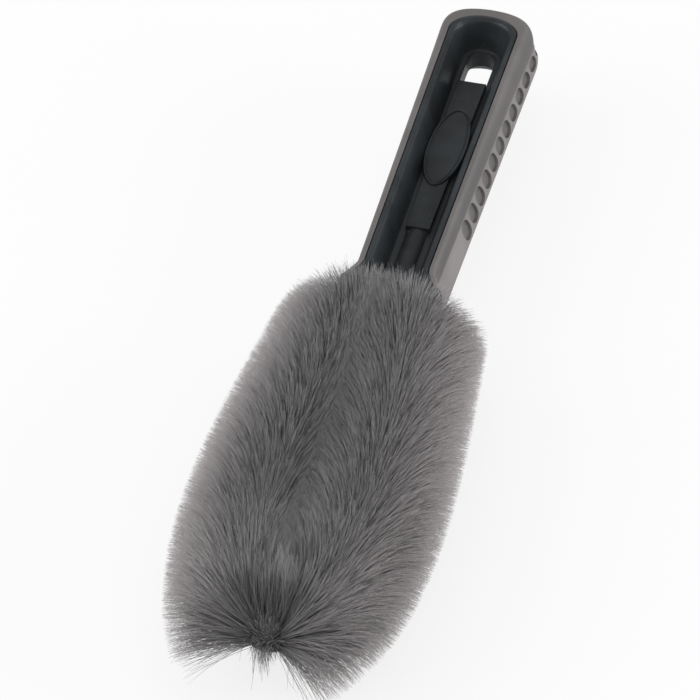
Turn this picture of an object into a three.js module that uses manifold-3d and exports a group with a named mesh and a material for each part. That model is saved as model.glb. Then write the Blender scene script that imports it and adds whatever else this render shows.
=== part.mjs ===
// Looped wheel brush: a twisted-wire stem bent into a leaf-shaped loop carries rings of
// synthetic filaments, and both of its ends are held in a hard plastic handle core that
// wears a band of softer grip material.
//
// Units are millimetres. The brush is drawn with the handle's front face at x = 0, the
// filaments towards +X, the handle towards -X and the loop lying in the plane z = 0. The
// finished group is then moved, so that its origin is the middle of its footprint, on the
// surface that the filaments rest on.

import * as THREE from 'three';
import { ConvexGeometry } from 'three/addons/geometries/ConvexGeometry.js';
import { mergeVertices } from 'three/addons/utils/BufferGeometryUtils.js';
import Module from 'manifold-3d';

const wasm = await Module();
wasm.setup();

// Fits
const TOUCH_GAP = 0.3; // between pieces that touch each other

// Handle, from the butt at -HANDLE_LENGTH to the front face at 0
const HANDLE_LENGTH = 157;
const FLARE_LENGTH = 9; // guard at the front that widens towards the filaments
const FLARE_SPREAD = 4;
const GRIP_HALF_BUTT = 18.2; // half width over the grip band
const GRIP_HALF_NECK = 16.8;
const CORE_HALF_BUTT = 12.1; // half width of the hard core's visible face
const CORE_HALF_NECK = 11.05;
const TOP_BUTT = 15.3; // height of the handle's top above the middle plane
const TOP_NECK = 13.8;
const UNDERSIDE_DEPTH = 7.5; // how far its flatter underside lies below that plane, at the butt
const BUTT_WALL = 10.5; // grip material behind the core
const BUTT_ROUND = 13; // length of the grip's rounded butt end
const CORE_ROUND = 9; // length of the core's rounded butt end
const GRIP_CORNER = { start: 0.25, end: 0.8 }; // shares that shape a squarish rounded end
const CORE_CORNER = { start: 0.45, end: 0.58 }; // and a nearly elliptical one
const GRIP_TOP_LAND = 1.65; // width of the grip's flat top beside the core
const GRIP_BAND_HALF = 5; // half height of the upright side band

// Core: channels on both faces, each with a raised strip between the hang slot and a boss
const CHANNEL_LEDGE = 1.5; // rim left beside the channel
const FLOOR_LEVEL = 3.45; // height of the channel floor above the middle plane
const FLOOR_GROOVE = 1.2; // floor left open on each side of the strip
const STRIP_HALF_BUTT = 5.3; // half width of the strip
const STRIP_HALF_NECK = 4.2;
const STRIP_LEVEL = 5.7;
const CHANNEL_BUTT_WALL = 5; // core left behind the channel's floor
const CHANNEL_NECK_WALL = 4; // core left in front of the channel's floor
const SLOT_END_FROM_BUTT = 16; // hang slot: its round end
const SLOT_LENGTH = 20;
const SLOT_HALF = 5.1;
const STRIP_END_FROM_NECK = 39.5;
const BADGE_FROM_BUTT = 73.5; // centre of the bare oval pad
const BADGE_LENGTH = 42;
const BADGE_WIDTH = 14;
const BADGE_RISE = 0.7;
const BOSS_RADIUS = 5.1; // half-round boss over the wire sockets

// Leaf-shaped recesses in both side bands
const LEAF_PITCH = 9.6;
const LAST_LEAF_FROM_NECK = 45; // the row runs from here around the butt's corners
const PLAIN_BUTT_HALF = 14; // band left plain on each side of the butt's middle
const LEAF_LENGTH = 9.8;
const LEAF_WIDTH = 7;
const LEAF_SLANT = 1.45; // radians from the handle's length
const LEAF_DEPTH = 1;

// Stem: two wires twisted together and bent into a loop
const WIRE_DIAMETER = 2.2;
const TWIST_LENGTH = 22; // length of one full turn
const LOOP_LENGTH = 168.5; // from the handle's face to the middle of the hairpin
const SOCKET_SIDE = 3.55; // from the middle of a socket's mouth to the core's side
const LEG_BELLY = 25.5; // pulls the legs apart towards the tip
const LEG_SPLAY = 4.3; // and near the handle, beyond where they start
const HAIRPIN_RADIUS = 5;
const HAIRPIN_LEAN = 0.5; // radians from the handle's length, where the legs meet the hairpin
const SOCKET_DEPTH = 30;
const SOCKET_END_GAP = 1; // beyond the wires' ends
const SHEATH_WALL = 0.8; // sleeve over the hairpin

// Filament rings
const BRISTLE_RADIUS = 28;
const BRISTLE_START = 1.5; // clear of the handle's face
const RINGS_PER_LEG = 14;
const RING_SIDES = 16;

// Sizes that follow from the ones above
const LEG_HALF_START = CORE_HALF_NECK - SOCKET_SIDE; // half distance between the legs at the handle
const BUTT_X = -HANDLE_LENGTH;
const STEM_RADIUS = WIRE_DIAMETER + TOUCH_GAP / 2; // over both twisted wires
const STRAND_OFFSET = WIRE_DIAMETER / 2 + TOUCH_GAP / 2;
const TUNNEL_RADIUS = STEM_RADIUS + TOUCH_GAP;
const SLOT_END_X = BUTT_X + SLOT_END_FROM_BUTT;
const STRIP_START_X = SLOT_END_X + SLOT_LENGTH;
const STRIP_END_X = -STRIP_END_FROM_NECK;

// Finenesses of the faceted surfaces, and how far a cutter runs past the face that it cuts
const WELD = 1e-4;
const OVERCUT = 1;
const BEVEL_STEPS = 4;
const ARC_STEPS = 6;
const ROUND_SIDES = 20;
const CHANNEL_END_STEPS = 8;
const LEAF_STEPS = 4;
const WIRE_SIDES = 6;
const TUNNEL_SIDES = 8;

const MATERIALS = {
  core: new THREE.MeshStandardMaterial({ color: 0x2a2e30, roughness: 0.45, metalness: 0 }),
  grip: new THREE.MeshStandardMaterial({ color: 0x6a6666, roughness: 0.75, metalness: 0 }),
  wire: new THREE.MeshStandardMaterial({ color: 0x9a9c9e, roughness: 0.35, metalness: 1 }),
  sheath: new THREE.MeshStandardMaterial({ color: 0x1c1d1e, roughness: 0.6, metalness: 0 }),
  bristle: new THREE.MeshStandardMaterial({ color: 0x77737a, roughness: 0.7, metalness: 0 }),
};

// ---------------------------------------------------------------- solids

/** Turns a closed geometry into a solid that can be cut and joined. */
function toSolid(geometry) {
  const bare = geometry.clone();
  bare.deleteAttribute('normal');
  bare.deleteAttribute('uv');
  const merged = mergeVertices(bare, WELD);
  const mesh = new wasm.Mesh({
    numProp: 3,
    vertProperties: new Float32Array(merged.attributes.position.array),
    triVerts: new Uint32Array(merged.index.array),
  });
  return new wasm.Manifold(mesh);
}

/** Turns a solid back into a geometry. */
function toGeometry(solid) {
  const mesh = solid.getMesh();
  const geometry = new THREE.BufferGeometry();
  geometry.setAttribute('position', new THREE.BufferAttribute(mesh.vertProperties, 3));
  geometry.setIndex(new THREE.BufferAttribute(mesh.triVerts, 1));
  geometry.computeVertexNormals();
  return geometry;
}

/** A box between two corners, as a solid. */
function boxSolid(low, high) {
  const size = new THREE.Vector3().subVectors(high, low);
  const middle = new THREE.Vector3().addVectors(low, high).multiplyScalar(0.5);
  const geometry = new THREE.BoxGeometry(size.x, size.y, size.z);
  geometry.translate(middle.x, middle.y, middle.z);
  return toSolid(geometry);
}

/** An upright solid with the plan of a shape, from one height to another. */
function prism(shape, bottom, top, curveSegments = ARC_STEPS) {
  const options = { depth: top - bottom, bevelEnabled: false, curveSegments };
  const geometry = new THREE.ExtrudeGeometry(shape, options);
  geometry.translate(0, 0, bottom);
  return toSolid(geometry);
}

/** Follows a curve with a round section of an even number of sides, and closes both ends. */
function sweepCircle(curve, radius, sides, steps) {
  const section = new THREE.Shape();
  section.absarc(0, 0, radius, 0, 2 * Math.PI, false);
  const options = { steps, bevelEnabled: false, extrudePath: curve, curveSegments: sides / 2 };
  return new THREE.ExtrudeGeometry(section, options);
}

/** The handle's pieces are drawn with both faces alike: this flattens what lies below the web. */
function flattenUnderside(z) {
  const share = (UNDERSIDE_DEPTH - FLOOR_LEVEL) / (TOP_BUTT - FLOOR_LEVEL);
  return Math.max(z, -FLOOR_LEVEL) + share * Math.min(z + FLOOR_LEVEL, 0);
}

/** Gives the handle's pieces their thickness, less at the neck, so they keep the same faces. */
function shapeThickness(geometry) {
  const position = geometry.attributes.position;
  for (let i = 0; i < position.count; i += 1) {
    const along = THREE.MathUtils.clamp((position.getX(i) - BUTT_X) / HANDLE_LENGTH, 0, 1);
    const top = THREE.MathUtils.lerp(TOP_BUTT, TOP_NECK, along);
    position.setZ(i, (flattenUnderside(position.getZ(i)) * top) / TOP_BUTT);
  }
  geometry.computeVertexNormals();
  return geometry;
}

// ---------------------------------------------------------------- handle

/** Carries a plan around the left corner of the butt, to the middle line. */
function addButtCorner(path, halfButt, buttX, round, corner) {
  path.bezierCurveTo(buttX + corner.start * round, halfButt, buttX, corner.end * halfButt, buttX, 0);
}

/** Carries it on around the right corner, which mirrors the left one. */
function addRightCorner(path, halfButt, buttX, round, corner) {
  const startX = buttX + corner.start * round;
  path.bezierCurveTo(buttX, -corner.end * halfButt, startX, -halfButt, buttX + round, -halfButt);
}

/**
 * Plan of the handle with a rounded butt. It runs on past the front face, where the
 * pieces are cut off square.
 */
function handleOutline(halfButt, halfNeck, buttX, round, corner) {
  const frontX = FLARE_LENGTH;
  const flareX = -FLARE_LENGTH;
  const flareHalf = halfNeck + (FLARE_SPREAD * (frontX - flareX)) / FLARE_LENGTH;
  const shape = new THREE.Shape();
  shape.moveTo(frontX, -flareHalf);
  shape.lineTo(frontX, flareHalf);
  shape.lineTo(flareX, halfNeck);
  shape.lineTo(buttX + round, halfButt);
  addButtCorner(shape, halfButt, buttX, round, corner);
  addRightCorner(shape, halfButt, buttX, round, corner);
  shape.lineTo(flareX, -halfNeck);
  shape.closePath();
  return shape;
}

/** Everything behind the handle's front face. */
function behindFrontFace() {
  const reach = HANDLE_LENGTH + 2 * BUTT_ROUND;
  return boxSolid(new THREE.Vector3(-reach, -reach, -reach), new THREE.Vector3(0, reach, reach));
}

/** Plan of the hard core, which the grip follows with a gap. */
function coreOutline(margin) {
  return handleOutline(
    CORE_HALF_BUTT + margin,
    CORE_HALF_NECK + margin,
    BUTT_X + BUTT_WALL - margin,
    CORE_ROUND,
    CORE_CORNER,
  );
}

/** One scooped channel above the middle plane: concave walls down to a flat floor. */
function channelCutter() {
  const startX = BUTT_X + BUTT_WALL + CHANNEL_BUTT_WALL;
  const endX = -CHANNEL_NECK_WALL - CHANNEL_LEDGE;
  const halfButt = STRIP_HALF_BUTT + FLOOR_GROOVE;
  const halfNeck = STRIP_HALF_NECK + FLOOR_GROOVE;
  const floor = new THREE.Shape();
  floor.moveTo(endX, -halfNeck);
  floor.lineTo(endX, halfNeck);
  floor.lineTo(startX + halfButt, halfButt);
  floor.absarc(startX + halfButt, 0, halfButt, Math.PI / 2, 1.5 * Math.PI, false);
  floor.closePath();
  const depth = TOP_BUTT - FLOOR_LEVEL;
  const geometry = new THREE.ExtrudeGeometry(floor, {
    depth,
    bevelEnabled: true,
    bevelThickness: depth,
    bevelSize: CORE_HALF_NECK - CHANNEL_LEDGE - halfNeck,
    bevelSegments: BEVEL_STEPS,
    curveSegments: CHANNEL_END_STEPS,
  });
  geometry.translate(0, 0, FLOOR_LEVEL + depth);
  return toSolid(geometry);
}

/** The strip that stands on the channel floor, with the bare oval pad on top of it. */
function raisedStrip() {
  const plan = new THREE.Shape();
  plan.moveTo(STRIP_START_X, -STRIP_HALF_BUTT);
  plan.lineTo(STRIP_END_X, -STRIP_HALF_NECK);
  plan.lineTo(STRIP_END_X, STRIP_HALF_NECK);
  plan.lineTo(STRIP_START_X, STRIP_HALF_BUTT);
  plan.closePath();
  const pad = new THREE.Shape();
  pad.absellipse(BUTT_X + BADGE_FROM_BUTT, 0, BADGE_LENGTH / 2, BADGE_WIDTH / 2, 0, 2 * Math.PI);
  const bottom = FLOOR_LEVEL - OVERCUT;
  return prism(plan, bottom, STRIP_LEVEL).add(prism(pad, bottom, STRIP_LEVEL + BADGE_RISE, ROUND_SIDES));
}

/** The hang slot, right through the core: flat towards the neck and round at its other end. */
function hangSlot() {
  const plan = new THREE.Shape();
  plan.moveTo(STRIP_START_X, -SLOT_HALF);
  plan.lineTo(STRIP_START_X, SLOT_HALF);
  plan.lineTo(SLOT_END_X + SLOT_HALF, SLOT_HALF);
  plan.absarc(SLOT_END_X + SLOT_HALF, 0, SLOT_HALF, Math.PI / 2, 1.5 * Math.PI, false);
  plan.closePath();
  return prism(plan, -TOP_BUTT, TOP_BUTT);
}

/** The half-round boss over the wire sockets, along the neck end of the channel. */
function socketBoss() {
  const length = STRIP_END_FROM_NECK - CHANNEL_NECK_WALL;
  const geometry = new THREE.CylinderGeometry(BOSS_RADIUS, BOSS_RADIUS, length, ROUND_SIDES);
  geometry.rotateZ(Math.PI / 2);
  geometry.translate(STRIP_END_X + length / 2, 0, 0);
  return toSolid(geometry);
}

/** The hard core: channels, strips and boss on both faces, the hang slot and two wire sockets. */
function handleCore(tunnel) {
  const channel = channelCutter();
  const strip = raisedStrip();
  const core = prism(coreOutline(0), -TOP_BUTT, TOP_BUTT)
    .intersect(behindFrontFace())
    .subtract(channel)
    .subtract(channel.mirror([0, 0, 1]))
    .add(strip)
    .add(strip.mirror([0, 0, 1]))
    .add(socketBoss())
    .subtract(hangSlot());
  return toGeometry(toSolid(shapeThickness(toGeometry(core))).subtract(tunnel));
}

/** Outside of the grip: upright side bands between bulged shoulders. */
function gripBody() {
  const spread = GRIP_HALF_BUTT - CORE_HALF_BUTT - GRIP_TOP_LAND;
  const cap = handleOutline(
    GRIP_HALF_BUTT - spread,
    GRIP_HALF_NECK - spread,
    BUTT_X + spread,
    BUTT_ROUND,
    GRIP_CORNER,
  );
  const geometry = new THREE.ExtrudeGeometry(cap, {
    depth: 2 * GRIP_BAND_HALF,
    bevelEnabled: true,
    bevelThickness: TOP_BUTT - GRIP_BAND_HALF,
    bevelSize: spread,
    bevelSegments: BEVEL_STEPS,
    curveSegments: ARC_STEPS,
  });
  geometry.translate(0, 0, -GRIP_BAND_HALF);
  return toSolid(geometry);
}

/** Plan of the left side band, from the flare to the middle of the butt. */
function sideBandRoute() {
  const route = new THREE.Path();
  route.moveTo(-FLARE_LENGTH, GRIP_HALF_NECK);
  route.lineTo(BUTT_X + BUTT_ROUND, GRIP_HALF_BUTT);
  addButtCorner(route, GRIP_HALF_BUTT, BUTT_X, BUTT_ROUND, GRIP_CORNER);
  return route;
}

/** A pointed oval, slanted and standing on edge, that cuts into the left side band. */
function leafCutter(route, distance) {
  const shape = new THREE.Shape();
  shape.moveTo(-LEAF_LENGTH / 2, 0);
  shape.quadraticCurveTo(0, LEAF_WIDTH, LEAF_LENGTH / 2, 0);
  shape.quadraticCurveTo(0, -LEAF_WIDTH, -LEAF_LENGTH / 2, 0);
  const place = route.getPointAt(distance / route.getLength());
  const tangent = route.getTangentAt(distance / route.getLength());
  const reach = 2 * LEAF_DEPTH;
  const options = { depth: reach, bevelEnabled: false, curveSegments: LEAF_STEPS };
  const geometry = new THREE.ExtrudeGeometry(shape, options);
  geometry.rotateZ(LEAF_SLANT);
  geometry.rotateX(Math.PI / 2);
  geometry.translate(0, reach - LEAF_DEPTH, 0);
  geometry.rotateZ(Math.atan2(-tangent.y, -tangent.x));
  geometry.translate(place.x, place.y, 0);
  return toSolid(geometry);
}

/** The grip band around the core, with its two rows of leaf-shaped recesses. */
function gripOvermould() {
  const cutTop = TOP_BUTT + OVERCUT;
  let grip = gripBody()
    .intersect(behindFrontFace())
    .subtract(prism(coreOutline(TOUCH_GAP), -cutTop, cutTop));
  const route = sideBandRoute();
  const lastLeaf = route.getLength() - PLAIN_BUTT_HALF;
  for (let at = LAST_LEAF_FROM_NECK - FLARE_LENGTH; at < lastLeaf; at += LEAF_PITCH) {
    const leaf = leafCutter(route, at);
    grip = grip.subtract(leaf).subtract(leaf.mirror([0, 1, 0]));
  }
  return shapeThickness(toGeometry(grip));
}

// ---------------------------------------------------------------- stem

/** One leg's route from the handle's face to the hairpin; side is 1 or -1. */
function legCurve(side) {
  const endX = LOOP_LENGTH - HAIRPIN_RADIUS + HAIRPIN_RADIUS * Math.sin(HAIRPIN_LEAN);
  const endY = HAIRPIN_RADIUS * Math.cos(HAIRPIN_LEAN);
  const reach = (LEG_BELLY - endY) / Math.sin(HAIRPIN_LEAN);
  return new THREE.CubicBezierCurve3(
    new THREE.Vector3(0, side * LEG_HALF_START, 0),
    new THREE.Vector3(LOOP_LENGTH / 3, side * (LEG_HALF_START + LEG_SPLAY), 0),
    new THREE.Vector3(endX - reach * Math.cos(HAIRPIN_LEAN), side * LEG_BELLY, 0),
    new THREE.Vector3(endX, side * endY, 0),
  );
}

/** Where the straight end of one leg sits in its socket, a given depth behind the face. */
function socketPoint(side, depth) {
  const leg = legCurve(side);
  return leg.getPoint(0).addScaledVector(leg.getTangent(0), -depth);
}

/** Middle line of the whole stem: socket, leg, hairpin, leg, socket. */
function stemLoop(socketDepth) {
  const points = [];
  const legSteps = 24;
  const turnSteps = 6;
  for (const depth of [socketDepth, socketDepth / 2]) points.push(socketPoint(1, depth));
  points.push(...legCurve(1).getSpacedPoints(legSteps));
  const firstAngle = Math.PI / 2 - HAIRPIN_LEAN;
  for (let i = 1; i < turnSteps; i += 1) {
    const angle = firstAngle * (1 - (2 * i) / turnSteps);
    const x = LOOP_LENGTH - HAIRPIN_RADIUS + HAIRPIN_RADIUS * Math.cos(angle);
    points.push(new THREE.Vector3(x, HAIRPIN_RADIUS * Math.sin(angle), 0));
  }
  points.push(...legCurve(-1).getSpacedPoints(legSteps).reverse());
  for (const depth of [socketDepth / 2, socketDepth]) points.push(socketPoint(-1, depth));
  return new THREE.CatmullRomCurve3(points, false, 'centripetal');
}

/** One wire, wound around the middle line of the stem. */
class TwistedStrand extends THREE.Curve {
  constructor(loop, phase) {
    super();
    this.loop = loop;
    this.phase = phase;
    this.turns = loop.getLength() / TWIST_LENGTH;
  }

  getPoint(t, target = new THREE.Vector3()) {
    const tangent = this.loop.getTangentAt(t);
    const angle = 2 * Math.PI * this.turns * t + this.phase;
    target.copy(this.loop.getPointAt(t));
    target.x -= tangent.y * STRAND_OFFSET * Math.cos(angle);
    target.y += tangent.x * STRAND_OFFSET * Math.cos(angle);
    target.z += STRAND_OFFSET * Math.sin(angle);
    return target;
  }
}

/** One of the two twisted wires. */
function stemWire(loop, phase) {
  const stepsPerTurn = 9;
  const steps = Math.round((loop.getLength() / TWIST_LENGTH) * stepsPerTurn);
  return sweepCircle(new TwistedStrand(loop, phase), WIRE_DIAMETER / 2, WIRE_SIDES, steps);
}

/** The stretch of the stem's middle line around the hairpin. */
class HairpinStretch extends THREE.Curve {
  constructor(loop) {
    super();
    this.loop = loop;
    this.half = (HAIRPIN_RADIUS * (Math.PI / 2 - HAIRPIN_LEAN)) / loop.getLength();
  }

  getPoint(t, target = new THREE.Vector3()) {
    return target.copy(this.loop.getPointAt(0.5 + (2 * t - 1) * this.half));
  }
}

/** The room that the twisted wires need along their whole way. */
function stemTunnel() {
  const steps = 150;
  const radius = TUNNEL_RADIUS / Math.cos(Math.PI / TUNNEL_SIDES);
  return toSolid(sweepCircle(stemLoop(SOCKET_DEPTH + SOCKET_END_GAP), radius, TUNNEL_SIDES, steps));
}

/** Dark sleeve over the bare bend at the tip. */
function tipSheath(loop, tunnel) {
  const steps = 10;
  const radius = (TUNNEL_RADIUS + SHEATH_WALL) / Math.cos(Math.PI / TUNNEL_SIDES);
  const outer = toSolid(sweepCircle(new HairpinStretch(loop), radius, TUNNEL_SIDES, steps));
  return toGeometry(outer.subtract(tunnel));
}

// ---------------------------------------------------------------- filaments

/** Corners of a filament ring's outside, in the plane across one leg. */
function ringCorners(leg, t, side) {
  const centre = leg.getPointAt(t);
  const tangent = leg.getTangentAt(t);
  const outward = new THREE.Vector3(-tangent.y * side, tangent.x * side, 0);
  const corners = [];
  for (let i = 0; i < RING_SIDES; i += 1) {
    const angle = ((i + 0.5) / RING_SIDES) * 2 * Math.PI;
    const corner = centre.clone().addScaledVector(outward, BRISTLE_RADIUS * Math.cos(angle));
    corner.z += BRISTLE_RADIUS * Math.sin(angle);
    corners.push(corner);
  }
  return corners;
}

/** The filaments of one stretch of a leg, on that leg's side of the middle. */
function filamentRing(leg, side, index, tunnel) {
  const length = leg.getLength();
  const first = BRISTLE_START / length;
  const last = 1 - (SHEATH_WALL + TOUCH_GAP) / length;
  const step = (last - first) / RINGS_PER_LEG;
  const start = first + index * step + TOUCH_GAP / 2 / length;
  const end = first + (index + 1) * step - TOUCH_GAP / 2 / length;
  const hull = new ConvexGeometry([...ringCorners(leg, start, side), ...ringCorners(leg, end, side)]);
  const reach = LOOP_LENGTH + 2 * BRISTLE_RADIUS;
  const nearY = (side * TOUCH_GAP) / 2;
  const farY = side * reach;
  const ownSide = boxSolid(
    new THREE.Vector3(TOUCH_GAP, Math.min(nearY, farY), -reach),
    new THREE.Vector3(reach, Math.max(nearY, farY), reach),
  );
  return toGeometry(toSolid(hull).intersect(ownSide).subtract(tunnel));
}

// ---------------------------------------------------------------- assembly

const group = new THREE.Group();

/** Adds one named piece to the brush. */
function addPart(name, geometry, material) {
  const mesh = new THREE.Mesh(geometry, material);
  mesh.name = name;
  group.add(mesh);
}

const loop = stemLoop(SOCKET_DEPTH);
const tunnel = stemTunnel();
addPart('handle_core', handleCore(tunnel), MATERIALS.core);
addPart('grip_overmould', gripOvermould(), MATERIALS.grip);
addPart('stem_wire_a', stemWire(loop, 0), MATERIALS.wire);
addPart('stem_wire_b', stemWire(loop, Math.PI), MATERIALS.wire);
addPart('tip_sheath', tipSheath(loop, tunnel), MATERIALS.sheath);

for (const [word, side] of [['left', 1], ['right', -1]]) {
  const leg = legCurve(side);
  for (let i = 0; i < RINGS_PER_LEG; i += 1) {
    const name = `bristle_${word}_${String(i + 1).padStart(2, '0')}`;
    addPart(name, filamentRing(leg, side, i, tunnel), MATERIALS.bristle);
  }
}

const box = new THREE.Box3().setFromObject(group);
group.position.set(-(box.min.x + box.max.x) / 2, 0, -box.min.z);
group.updateMatrixWorld(true);

export default group;
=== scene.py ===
"""Looped wheel brush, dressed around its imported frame.

The brush is a twisted-wire stem bent into a leaf-shaped loop, with soft grey filaments all
round both legs, and a scooped black handle that wears a grey soft-touch grip band. Every
length is in metres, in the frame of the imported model: +X from the butt of the handle to the
tip of the loop, +Z up.
"""

from __future__ import annotations

import logging
import math
from dataclasses import dataclass
from enum import Enum
from typing import Any, Iterable, Sequence

import bmesh
import bpy
import numpy as np
from mathutils import Matrix, Vector

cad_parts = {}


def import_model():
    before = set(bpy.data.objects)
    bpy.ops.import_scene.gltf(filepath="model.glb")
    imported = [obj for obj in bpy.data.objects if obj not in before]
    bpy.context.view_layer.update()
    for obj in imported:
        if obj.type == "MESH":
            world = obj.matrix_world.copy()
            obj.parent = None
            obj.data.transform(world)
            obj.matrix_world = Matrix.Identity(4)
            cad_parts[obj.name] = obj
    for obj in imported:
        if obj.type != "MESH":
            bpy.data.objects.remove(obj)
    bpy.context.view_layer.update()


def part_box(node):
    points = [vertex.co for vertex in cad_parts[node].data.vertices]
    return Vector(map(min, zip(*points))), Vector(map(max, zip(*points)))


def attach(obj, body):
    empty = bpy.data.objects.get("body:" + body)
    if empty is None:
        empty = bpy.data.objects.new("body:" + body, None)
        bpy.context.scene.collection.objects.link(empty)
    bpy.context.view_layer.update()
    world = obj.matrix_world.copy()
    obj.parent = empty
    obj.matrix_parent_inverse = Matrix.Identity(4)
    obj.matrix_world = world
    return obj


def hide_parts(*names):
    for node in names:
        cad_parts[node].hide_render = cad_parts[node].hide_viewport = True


LOG = logging.getLogger("wheel_brush")
BODY = "root"
SHARP_ANGLE = math.radians(34)
WELD = 1e-6
MILLIMETRES = 1000  # in a metre

Point = tuple[float, float]
Colour = tuple[float, float, float]


class Side(Enum):
    """The two sides of the brush's upright middle plane."""

    LEFT = 1
    RIGHT = -1


class Cut(Enum):
    """How one solid changes another."""

    REMOVE = "DIFFERENCE"
    ADD = "UNION"


# ------------------------------------------------------------------ shader expressions


class Value:
    """A number in a material that adds Math nodes when it is used in an expression."""

    def __init__(self, tree: "NodeTree", socket: bpy.types.NodeSocket) -> None:
        """Wraps a socket.

        Args:
            tree: The tree that the socket belongs to.
            socket: The output that carries the number.
        """
        self.tree = tree
        self.socket = socket

    def _math(self, operation: str, first: Any, second: Any) -> "Value":
        """Adds one Math node and returns its result."""
        return self.tree.node("ShaderNodeMath", {"operation": operation}, {0: first, 1: second}).out(0)

    def __add__(self, other: Any) -> "Value":
        """self + other."""
        return self._math("ADD", self, other)

    __radd__ = __add__

    def __sub__(self, other: Any) -> "Value":
        """self - other."""
        return self._math("SUBTRACT", self, other)

    def __rsub__(self, other: Any) -> "Value":
        """other - self."""
        return self._math("SUBTRACT", other, self)

    def __mul__(self, other: Any) -> "Value":
        """self * other."""
        return self._math("MULTIPLY", self, other)

    __rmul__ = __mul__


class Node:
    """One node with its outputs as values."""

    def __init__(self, tree: "NodeTree", node: bpy.types.Node) -> None:
        """Wraps a node of a tree."""
        self.tree = tree
        self.node = node

    def out(self, key: int | str) -> Value:
        """One output of the node."""
        return Value(self.tree, self.node.outputs[key])


class NodeTree:
    """The node tree of one material, with a Principled shader at its end."""

    def __init__(self, name: str) -> None:
        """Makes an empty material.

        Args:
            name: The material's name.
        """
        self.material = bpy.data.materials.new(name)
        self.material.use_nodes = True
        self.tree = self.material.node_tree
        self.tree.nodes.clear()
        self.surface = self.node("ShaderNodeBsdfPrincipled")
        self.output = self.node("ShaderNodeOutputMaterial", {}, {"Surface": self.surface.out("BSDF")})

    def node(
        self,
        kind: str,
        settings: dict[str, Any] | None = None,
        inputs: dict[int | str, Any] | None = None,
    ) -> Node:
        """Adds a node.

        Args:
            kind: The node's type.
            settings: Its own settings, which are set first. "stops" are a ramp's stops.
            inputs: Values or links for its sockets.

        Returns:
            The new node.
        """
        node = self.tree.nodes.new(kind)
        for key, value in (settings or {}).items():
            if key == "stops":
                self._set_stops(node.color_ramp, value)
            else:
                setattr(node, key, value)
        made = Node(self, node)
        for key, value in (inputs or {}).items():
            self.feed(made, key, value)
        return made

    def feed(self, target: Node, key: int | str, value: Any) -> None:
        """Links a value to a socket, or sets the socket's own number.

        Args:
            target: The node that is fed.
            key: The socket's name or place.
            value: A value to link, or the number, colour or vector to set.
        """
        socket = target.node.inputs[key]
        if isinstance(value, Value):
            self.tree.links.new(value.socket, socket)
        else:
            socket.default_value = value

    @staticmethod
    def _set_stops(ramp: bpy.types.ColorRamp, stops: Sequence[tuple[float, Colour]]) -> None:
        """Gives a ramp its stops.

        Args:
            ramp: The ramp.
            stops: Pairs of a place, from 0 to 1, and a colour.
        """
        while len(ramp.elements) < len(stops):
            ramp.elements.new(1.0)
        for element, (place, colour) in zip(ramp.elements, stops):
            element.position = place
            element.color = (*colour, 1.0)

    def noise(self, vector: Value, scale: float, detail: float = 3.0) -> Value:
        """Soft noise between about 0.3 and 0.7."""
        inputs = {"Vector": vector, "Scale": scale, "Detail": detail}
        return self.node("ShaderNodeTexNoise", {}, inputs).out(0)

    def ramp(self, factor: Value, stops: Sequence[tuple[float, Colour]]) -> Value:
        """A colour that follows a number."""
        return self.node("ShaderNodeValToRGB", {"stops": stops}, {"Fac": factor}).out(0)

    def remap(self, value: Value, low: float, high: float, first: float, last: float) -> Value:
        """Moves one stretch of a number to another, clamped and eased.

        Args:
            value: The number.
            low: Where the stretch starts.
            high: Where it ends.
            first: What low becomes.
            last: What high becomes.

        Returns:
            The moved number.
        """
        settings = {"interpolation_type": "SMOOTHSTEP"}
        inputs = {"Value": value, "From Min": low, "From Max": high, "To Min": first, "To Max": last}
        return self.node("ShaderNodeMapRange", settings, inputs).out(0)

    def mix(self, factor: Any, first: Any, second: Any) -> Value:
        """A colour between two others.

        Args:
            factor: The second colour's share.
            first: A colour, or a value that carries one.
            second: The other one.

        Returns:
            The mixed colour.
        """
        rgba = [c if isinstance(c, Value) else (*c, 1.0) for c in (first, second)]
        made = self.node("ShaderNodeMix", {"data_type": "RGBA"}, {0: factor, 6: rgba[0], 7: rgba[1]})
        return made.out(2)

    def shade(self, colour: Value, amount: Value) -> Value:
        """Multiplies a colour by a number."""
        vector = self.node("ShaderNodeVectorMath", {"operation": "SCALE"}, {0: colour, "Scale": amount})
        return vector.out(0)

    def relief(self, height: Value, strength: float, distance: float) -> None:
        """Feeds the surface's normal with a bump."""
        inputs = {"Height": height, "Strength": strength, "Distance": distance}
        bump = self.node("ShaderNodeBump", {}, inputs)
        self.feed(self.surface, "Normal", bump.out(0))

    def place(self) -> Value:
        """The point's own place on the object, in metres."""
        return self.node("ShaderNodeTexCoord").out("Object")

    def finish(self, **sockets: Any) -> bpy.types.Material:
        """Feeds the surface's sockets, named with underscores, and returns the material."""
        for key, value in sockets.items():
            self.feed(self.surface, key.replace("_", " ").title().replace("Ior", "IOR"), value)
        return self.material


# ------------------------------------------------------------------ finishes


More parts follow.
